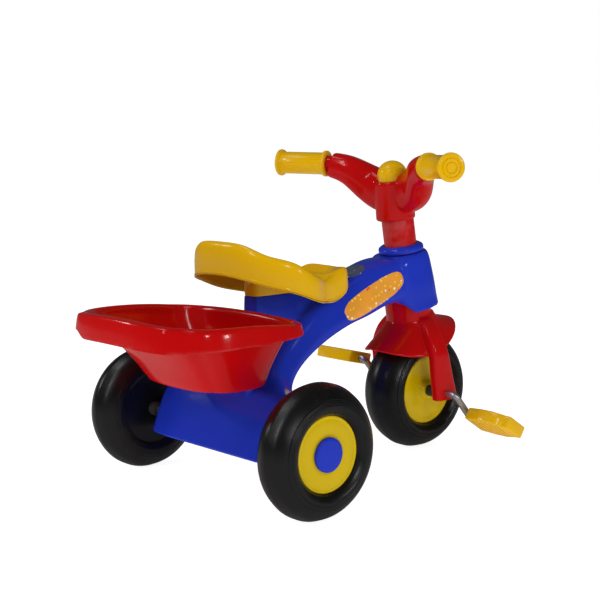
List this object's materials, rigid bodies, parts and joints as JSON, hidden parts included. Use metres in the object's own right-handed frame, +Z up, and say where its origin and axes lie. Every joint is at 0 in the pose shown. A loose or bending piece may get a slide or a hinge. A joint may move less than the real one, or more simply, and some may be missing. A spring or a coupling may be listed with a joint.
{
  "type": "children's tricycle",
  "caption": "Children's tricycle: moulded arched frame, dished seat, flared rear basket, steered fork with mudguard and pedalled front wheel, and a handlebar with a press button.",
  "frame": {"origin": "on the ground, in the middle of the tricycle's footprint", "axes": "+Z up, -Y forward (the way it is ridden), +X towards the rider's left"},
  "size_m": [0.432, 0.6342, 0.4504],
  "materials": {
    "blue_plastic": "glossy blow-moulded plastic",
    "red_plastic": "glossy moulded plastic",
    "yellow_plastic": "glossy moulded plastic",
    "black_plastic": "satin black blow-moulded tyre",
    "dark_nylon": "dark nylon",
    "steel": "plated steel"
  },
  "bodies": {
    "frame": {"main_frame": "blue_plastic", "head_collar": "blue_plastic", "seat": "yellow_plastic", "seat_screw_front": "steel", "seat_screw_rear": "steel", "basket": "red_plastic", "basket_screw_left": "steel", "basket_screw_right": "steel", "rear_axle": "steel", "rear_push_nut_left": "steel", "rear_push_nut_right": "steel", "rear_spacer_left": "dark_nylon", "rear_spacer_right": "dark_nylon"},
    "steering": {"fork": "red_plastic", "stem_tube": "red_plastic", "handlebar": "red_plastic", "handlebar_screw": "steel", "grip_left": "yellow_plastic", "grip_right": "yellow_plastic", "steering_washer": "dark_nylon"},
    "horn": {"horn_button": "yellow_plastic"},
    "front_wheel": {"front_tyre": "black_plastic", "front_hub_cover_left": "yellow_plastic", "front_hub_cover_right": "yellow_plastic", "crank_axle": "steel", "front_spacer_left": "dark_nylon", "front_spacer_right": "dark_nylon"},
    "pedal_left": {"pedal_left": "yellow_plastic"},
    "pedal_right": {"pedal_right": "yellow_plastic"},
    "rear_wheel_left": {"rear_tyre_left": "black_plastic", "rear_hub_cover_left": "yellow_plastic", "rear_cap_left": "blue_plastic"},
    "rear_wheel_right": {"rear_tyre_right": "black_plastic", "rear_hub_cover_right": "yellow_plastic", "rear_cap_right": "blue_plastic"}
  },
  "joints": [
    {"name": "steer", "type": "hinge", "parent": "frame", "child": "steering", "pos_m": [0, -0.1923, 0.35], "axis": [0, 0.1564, 0.9877], "range_deg": [-40, 40]},
    {"name": "horn_press", "type": "slide", "parent": "steering", "child": "horn", "axis": [0, 0.1564, 0.9877], "range_m": [-0.006, 0], "stiffness_N_per_m": 300, "springref_m": 0.002},
    {"name": "front_wheel_spin", "type": "hinge", "parent": "steering", "child": "front_wheel", "pos_m": [0, -0.2281, 0.089], "axis": [1, 0, 0], "continuous": true},
    {"name": "pedal_left_spin", "type": "hinge", "parent": "front_wheel", "child": "pedal_left", "pos_m": [0.125, -0.19591, 0.12804], "axis": [1, 0, 0], "continuous": true},
    {"name": "pedal_right_spin", "type": "hinge", "parent": "front_wheel", "child": "pedal_right", "pos_m": [-0.133, -0.26029, 0.04996], "axis": [1, 0, 0], "continuous": true},
    {"name": "rear_wheel_left_spin", "type": "hinge", "parent": "frame", "child": "rear_wheel_left", "pos_m": [0.1865, 0.1372, 0.0875], "axis": [1, 0, 0], "continuous": true},
    {"name": "rear_wheel_right_spin", "type": "hinge", "parent": "frame", "child": "rear_wheel_right", "pos_m": [-0.1865, 0.1372, 0.0875], "axis": [1, 0, 0], "continuous": true}
  ]
}
